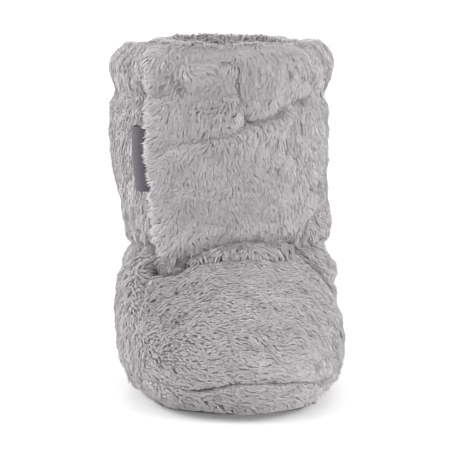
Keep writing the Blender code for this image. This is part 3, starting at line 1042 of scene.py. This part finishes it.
def build_shaft(plush, backing, fleece, nap_surface):
    length = WRAP.length - PILE_INSET
    inset = SHAFT_WALL - PILE_INSET
    half = inset / 2
    places = spaced(0.0, length, SHEET_COLUMNS, half, half)
    shares = spaced(0.0, 1.0, SHEET_ROWS, half / SHAFT_HEIGHT, half / SHAFT_HEIGHT)
    distance, share = np.meshgrid(places, shares, indexing="ij")
    bottom = WRAP.height_limits(distance)[0]
    top = rim_height(distance)
    on_flap = ramp(distance, *(WRAP.at_angle(angle) for angle in FLAP_ANGLES))
    bottom = bottom - FLAP_HANG * on_flap
    height = (top - bottom) * share
    above_corner = np.clip(FLAP_CORNER - height, 0.0, None)
    cut = FLAP_CORNER - np.sqrt(FLAP_CORNER**2 - above_corner**2)
    run = distance - cut * (distance / length) ** FLAP_CORNER_REACH
    z = bottom + height
    flare = FLAP_FLARE * on_flap * ramp(height, FLAP_FLARE_HEIGHT, 0.0)
    outer_side = ramp(sheet_sides(distance)[1], *OUTER_SIDE) * (1.0 - on_flap)
    draw_in = RIM_SHOULDER + (RIM_SHOULDER_OUTER - RIM_SHOULDER) * outer_side
    draw_in = draw_in * bump((top - z) / RIM_SHOULDER_HEIGHT)
    draw_in += SHAFT_NOTCH * outer_side * bump(height / SHAFT_NOTCH_HEIGHT)
    middle = sheet_point(run, z, flare - draw_in - PILE_INSET / 2)[:, ::-1]
    edge = round_edge(np.minimum(distance, length - distance), half)
    hem = half * (HEM_EDGE + (1.0 - HEM_EDGE) * on_flap)
    edge = edge * round_edge(top - z, half) * round_edge(height, hem)
    face = sheet_point(run, z, half - PILE_INSET / 2)
    # Creases of the flap and the sides, and the painted shade that their troughs put on the pile
    folds, dark = relief(face, FLAP_CREASES, flap_place, seed=21, swell=0.3)
    side_folds, side_painted_shade = relief(face, SIDE_CREASES, side_place, seed=22, swell=0.0)
    folds = folds + side_folds
    dark = np.maximum(dark, side_painted_shade)[:, ::-1]
    lining = np.clip(-folds - DEEPEST_FOLD, 0.0, None)
    lining -= STITCH_GROOVE * bump((top - z - STITCH_INSET) / GROOVE_HALF_WIDTH)
    folds = folds[:, ::-1]
    wall = Wall(middle, (half * edge)[:, ::-1], False, folds, lining[:, ::-1])
    dress(wall.mesh("shaft_wall", backing, fleece, RIM_ROWS), "plush", "shaft")

    cell = (places[1:] + places[:-1])[:, None] / 2
    rows = np.arange(len(shares) - 1)
    flap_end = np.interp(length - FRINGE, places, np.arange(len(places)))

    def flow(points, normals, column, row):
        """Down the shaft, fanning out over the flap, over the rim, past the flap's end and over its hem."""
        across = WRAP.front - np.interp(column, np.arange(len(places)), places)
        z = points[:, 2]
        level = normals * LEVEL_PART
        past_end = ramp(column, flap_end, len(places) - 1.0)
        low = ramp(len(shares) - row, *EDGE_ROWS)
        rim = ramp(row, *EDGE_ROWS)
        fan = np.clip((across - FAN_MIDDLE) / FAN_REACH, -1.0, 1.0) * ramp(across, *FAN_END)
        combed = in_patch(COMBED, across, z)
        ways = DOWN + 0.4 * level + past_end[:, None] * FRINGE_WAY
        hem = low * bump((across - HEM_MIDDLE) / HEM_HALF_WIDTH)
        ways += INWARD * (0.35 * fan + 1.6 * combed + 0.4 * hem)[:, None]
        behind = ramp(level[:, 1], *FACING) * ramp(row, *BACK_RIM_ROWS)
        ways += behind[:, None] * BACK_RIM_WAY
        end_on = in_patch(END_ON, across, z)
        # Painted shade from the creases, which also makes the locks there shorter and flatter
        depth = on_grid(dark, column, row)
        lobe = ramp(z, *LOBE_HEIGHTS) * ramp(np.abs(across), *LOBE_ACROSS)
        lift_more = 0.45 * end_on - 0.2 * low - 0.3 * rim - 0.2 * lobe - 0.1 * depth
        stretch = 1.0 + 0.8 * past_end + 0.15 * low - 0.2 * rim - 0.3 * depth
        # Near the rim the locks' tone is raised: painted light on the rim's pile
        return ways, lift_more, stretch, depth - 0.4 * rim

    def cover(name, start_angle, end_angle, row_count=len(shares)):
        """Pile between two angles, on the given number of rows from the rim down."""
        start, end = WRAP.at_angle(start_angle), WRAP.at_angle(end_angle)
        here = (cell >= start) & (cell < end) & (rows < row_count)
        weights = np.where(here, 1.0 + RIM_DENSER * ramp(rows, *RIM_DENSE_ROWS), 0.0)
        dress(grow_pile(name, wall.front(), weights, flow, plush), "plush")

    cover("flap_pile", BACK_END, FLAP_END)
    cover("outer_side_pile", WING_END, SIDE_END)
    cover("back_pile", SIDE_END, BACK_END)
    cover("wing_pile", INNER_END_ANGLE, WING_END, WING_ROWS)

    def line(name, first_row, last_row, surface, slot):
        """Pile inside the shaft, where the wrap leaves it open, between two rows below the rim."""
        here = (cell < WRAP.at_angle(INNER_END_ANGLE - 360.0)) & (rows >= first_row) & (rows < last_row)
        weights = np.where(here, 1.0, 0.0)[::-1]
        dress(grow_pile(name, wall.back(), weights, inside_flow, surface), slot)

    line("rim_pile", 0, RIM_ROWS, plush, "plush")
    line("lining_nap", RIM_ROWS, NAP_ROWS, nap_surface, "fleece_lining")


TONGUE_STEPS = 26
TONGUE_BARE = 0.5
TONGUE_WAY = np.array((0.15, 0.0, -1.0))


def build_tongue(plush, backing, fleece):
    inset = TONGUE_WALL - PILE_INSET
    half = inset / 2
    places = spaced(0.0, 1.0, TONGUE_STEPS, half / TONGUE_WIDTH, half / TONGUE_WIDTH)
    shares = spaced(0.0, 1.0, TONGUE_STEPS, 0.0, half / TONGUE_HEIGHT)
    across, up = np.meshgrid(places, shares, indexing="ij")
    middle = tongue_point(across, up, -PILE_INSET / 2)
    edge = round_edge(np.minimum(across, 1.0 - across) * TONGUE_WIDTH, half)
    edge = edge * round_edge((1.0 - up) * TONGUE_HEIGHT, half)
    wall = Wall(middle, half * edge, False, relief(middle, (), None, seed=31, swell=0.3)[0])
    dress(wall.mesh("tongue_wall", backing, fleece), "plush", "tongue")

    def flow(points, normals, column, row):
        return TONGUE_WAY + 0.4 * normals * LEVEL_PART, 0.0, 1.0, 0.0

    weights = np.where(shares[1:] > TONGUE_BARE, 1.0, 0.0) * np.ones((len(places) - 1, 1))
    dress(grow_pile("tongue_pile", wall.front(), weights, flow, plush), "plush")


# Steps of the plates' and panels' grids, and of the lines that stitches follow
PLATE_COLUMNS = 120
PLATE_ROWS = 10
PANEL_COLUMNS = 24
PANEL_ROWS = 40
BORDER_STEPS = 60
RIM_STITCH_STEPS = 400
WING_STITCH_STEPS = 120


def build_plate(name, margin, top, thickness, surface, slot, node, hollow=0.0):
    """A plate with the sole's outline and a round edge, hollowed a little along the middle."""
    half = thickness / 2
    reach = UPPER_LOOPS[0].half_width + margin
    turns = np.arange(PLATE_COLUMNS) / PLATE_COLUMNS
    turn, share = np.meshgrid(turns, spaced(0.0, 1.0, PLATE_ROWS, 0.0, half / reach), indexing="ij")
    middle = sole_point(turn, share, margin, top - half)[:, ::-1]
    edge = round_edge((1.0 - share) * reach, half)[:, ::-1]
    dish = -hollow * bump(share)[:, ::-1]
    wall = Wall(middle, half * edge, True, dish, normals=UP)
    dress(wall.mesh(name, surface, surface), slot, node)


def build_panel(name, first_column, columns, out, surface, thread, node):
    """A closing panel on one face of the shaft's sheet, with a stitched border."""
    step = WRAP.length / SHAFT_COLUMNS
    half = PANEL_THICKNESS / 2
    start, end = first_column * step, (first_column + columns) * step

    def place(distance, share, away=0.0):
        bottom, top = WRAP.height_limits(distance)
        return sheet_point(distance, bottom + (top - bottom) * share, out + away)

    places = spaced(start, end, PANEL_COLUMNS, half, half)
    shares = spaced(PANEL_BOTTOM, PANEL_TOP, PANEL_ROWS, half / SHAFT_HEIGHT, half / SHAFT_HEIGHT)
    distance, share = np.meshgrid(places, shares, indexing="ij")
    middle = place(distance, share)[:, ::-1]
    edge = round_edge(np.minimum(distance - start, end - distance), half)
    edge = edge * round_edge(np.minimum(share - PANEL_BOTTOM, PANEL_TOP - share) * SHAFT_HEIGHT, half)
    wall = Wall(middle, (half * edge)[:, ::-1], False)
    dress(wall.mesh(name, surface, surface), "closing_panel", node)

    away = math.copysign(half, out)
    across = np.linspace(start + BORDER_INSET, end - BORDER_INSET, BORDER_STEPS)
    inset = BORDER_INSET / SHAFT_HEIGHT
    up = np.linspace(PANEL_BOTTOM + inset, PANEL_TOP - inset, BORDER_STEPS)
    lines = [place(across, np.full(BORDER_STEPS, level), away) for level in (up[0], up[-1])]
    lines += [place(np.full(BORDER_STEPS, side), up, away) for side in (across[0], across[-1])]
    dress(build_stitches(name + "_stitches", lines, thread), "closing_panel")


def build_lining_stitches(thread):
    """A row of stitches round the lining below the rim, and one down the inner wing's end."""
    inside = -SHAFT_WALL / 2 + STITCH_GROOVE - STITCH_RADIUS / 2
    along = np.linspace(STITCH_INSET, WRAP.length - STITCH_INSET, RIM_STITCH_STEPS)
    rim_row = sheet_point(along, rim_height(along) - STITCH_INSET, inside)
    wing = np.full(WING_STITCH_STEPS, STITCH_INSET)
    down = np.linspace(0.0, 1.0, WING_STITCH_STEPS)
    low = WRAP.height_limits(wing)[0] + STITCH_INSET
    high = rim_height(wing) - STITCH_INSET
    wing_row = sheet_point(wing, low + (high - low) * down, -SHAFT_WALL / 2)
    dress(build_stitches("lining_stitches", [rim_row, wing_row], thread), "fleece_lining")


# A direction that no stitch runs along
NO_STITCH_WAY = np.array((0.31, 0.57, 0.76))


def build_stitches(name, lines, surface):
    """Stitches along lines of points: short threads with pointed ends."""
    starts, ends = [], []
    for line in lines:
        run = np.concatenate(([0.0], np.cumsum(np.linalg.norm(np.diff(line, axis=0), axis=1))))
        first = np.arange(0.0, run[-1] - STITCH_LENGTH, STITCH_STEP)
        for found, places in ((starts, first), (ends, first + STITCH_LENGTH)):
            found.append(np.stack([np.interp(places, run, line[:, axis]) for axis in range(3)], axis=1))
    starts, ends = np.concatenate(starts), np.concatenate(ends)
    aim = unit(ends - starts)
    side = unit(np.cross(aim, NO_STITCH_WAY))
    other = np.cross(aim, side)
    sides = STITCH_SIDES
    points = np.empty((len(starts), 2 * sides + 2, 3))
    for k in range(sides):
        angle = 2 * math.pi * k / sides
        spoke = STITCH_RADIUS * (side * math.cos(angle) + other * math.sin(angle))
        points[:, k] = starts + STITCH_TAPER * (ends - starts) + spoke
        points[:, sides + k] = starts + (1.0 - STITCH_TAPER) * (ends - starts) + spoke
    points[:, -2] = starts
    points[:, -1] = ends
    faces = []
    for k in range(sides):
        after = (k + 1) % sides
        faces += [(2 * sides, after, k), (k, after, sides + after), (k, sides + after, sides + k)]
        faces.append((sides + k, sides + after, 2 * sides + 1))
    shifts = points.shape[1] * np.arange(len(starts))[:, None, None]
    faces = (np.array(faces)[None] + shifts).reshape(-1, 3)
    return make_mesh(name, points.reshape(-1, 3), faces, (surface,))


TAB_BEND_STEPS = 11
TAB_LEG_STEPS = 8
TAB_RISE_STEPS = 30
TAB_DIP_END = 0.8


def build_tab(surface):
    """A ribbon folded in two, from inside the flap's end seam out to a full round fold."""
    bend = np.linspace(0.0, math.pi, TAB_BEND_STEPS)
    straight = TAB_REACH - TAB_FOLD - RIBBON_THICKNESS / 2
    along = np.linspace(0.0, 1.0, TAB_LEG_STEPS)
    ply = TAB_ROOT + (TAB_FOLD - TAB_ROOT) * ramp(along, 0.0, 1.0)
    leg = straight * along
    run = np.concatenate((leg, straight + TAB_FOLD * np.sin(bend)[1:-1], leg[::-1]))
    out = np.concatenate((ply, TAB_FOLD * np.cos(bend)[1:-1], -ply[::-1]))
    half = RIBBON_THICKNESS / 2
    rise = spaced(-TAB_WIDTH / 2, TAB_WIDTH / 2, TAB_RISE_STEPS, half, half)
    runs, rises = np.meshgrid(run, rise, indexing="ij")
    dip = -TAB_DIP * ramp(run, straight * TAB_DIP_END, 0.0)
    outs = np.repeat((out + dip)[:, None], len(rise), axis=1)
    middle = sheet_point(WRAP.length + GAP + runs, TAB_HEIGHT + rises, outs)
    edge = round_edge(TAB_WIDTH / 2 - np.abs(rises), half)
    edge[0] = edge[-1] = 0.0
    wall = Wall(middle, half * edge, False)
    dress(wall.mesh("ribbon_tab", surface, surface), "ribbon", "pull_tab")


# Stage

# The floor and the lights, in metres and watts
FLOOR_SIZE = 8.0
FLOOR_PLACE = (0.0, 0.0, -0.00005)
FLOOR_WHITE = (0.92, 0.92, 0.92, 1.0)
FLOOR_GLOW = 0.15
SKY_STRENGTH = 0.70
Light = namedtuple("Light", "name place size power")
LIGHTS = (
    Light("right", (1.0, -0.4, 0.45), 0.8, 9.0),
    Light("left", (-1.0, -0.35, 0.6), 0.9, 10.5),
    Light("back", (0.1, 0.9, 1.1), 1.2, 7.0),
)


def build_stage():
    bpy.ops.mesh.primitive_plane_add(size=FLOOR_SIZE, location=FLOOR_PLACE)
    floor = bpy.context.object
    floor.name = "floor"
    made, tree, shader = new_material("pale_floor", roughness=0.8)
    fill(shader, {"Base Color": FLOOR_WHITE, "Emission Color": (*WHITE, 1.0)})
    fill(shader, {"Emission Strength": FLOOR_GLOW})
    floor.data.materials.append(made)

    world = bpy.data.worlds.new("studio")
    bpy.context.scene.world = world
    world.use_nodes = True
    sky = world.node_tree.nodes["Background"]
    fill(sky, {"Color": (*WHITE, 1.0), "Strength": SKY_STRENGTH})
    for light in LIGHTS:
        add_light(light)


def add_light(light):
    """A soft square light that faces the shoe."""
    lamp = bpy.data.lights.new(light.name, "AREA")
    lamp.size = light.size
    lamp.energy = light.power
    holder = add_object(light.name, lamp)
    holder.location = light.place
    aim = Vector(CAMERA_TARGET) * MM - Vector(light.place)
    holder.rotation_euler = aim.to_track_quat("-Z", "Y").to_euler()


def build_camera():
    lens = bpy.data.cameras.new("camera")
    lens.sensor_width = SENSOR_WIDTH
    lens.lens = SENSOR_WIDTH * CAMERA_DISTANCE / CAMERA_FIELD
    holder = add_object("camera", lens)
    tilt = math.radians(CAMERA_ELEVATION)
    back = Vector((0.0, -math.cos(tilt), math.sin(tilt)))
    holder.location = (Vector(CAMERA_TARGET) + back * CAMERA_DISTANCE) * MM
    holder.rotation_euler = (-back).to_track_quat("-Z", "Y").to_euler()
    bpy.context.scene.camera = holder


def build():
    bpy.context.scene.view_settings.view_transform = "Standard"
    plush = pile_material("plush_pile", PLUSH)
    nap = pile_material("fleece_nap", FLEECE)
    cloths = [mottled_material(name, cloth) for name, cloth in CLOTHS.items()]
    backing, fleece, tape, thread, suede = cloths

    build_upper(plush, backing, fleece)
    build_shaft(plush, backing, fleece, nap)
    build_tongue(plush, backing, fleece)
    margin = SOLE_MARGIN - SOLE_TUCK
    build_plate("outsole_suede", margin, SOLE_THICKNESS, SOLE_THICKNESS, suede, "sole_suede", "outsole")
    margin = -INSOLE_MARGIN
    top = BASE_Z + GAP + INSOLE_THICKNESS
    hollow = FOOTBED_HOLLOW
    build_plate("insole_fleece", margin, top, INSOLE_THICKNESS, fleece, "fleece_lining", "insole", hollow)
    face = SHAFT_WALL / 2 + GAP + PANEL_THICKNESS / 2
    build_panel("loop_tape", PANEL_END_COLUMNS, LOOP_PANEL_COLUMNS, face, tape, thread, "loop_panel")
    hook_start = SHAFT_COLUMNS - PANEL_END_COLUMNS - HOOK_PANEL_COLUMNS
    build_panel("hook_tape", hook_start, HOOK_PANEL_COLUMNS, -face, tape, thread, "hook_panel")
    build_lining_stitches(thread)
    build_tab(ribbon_material())
    build_stage()
    build_camera()


build()
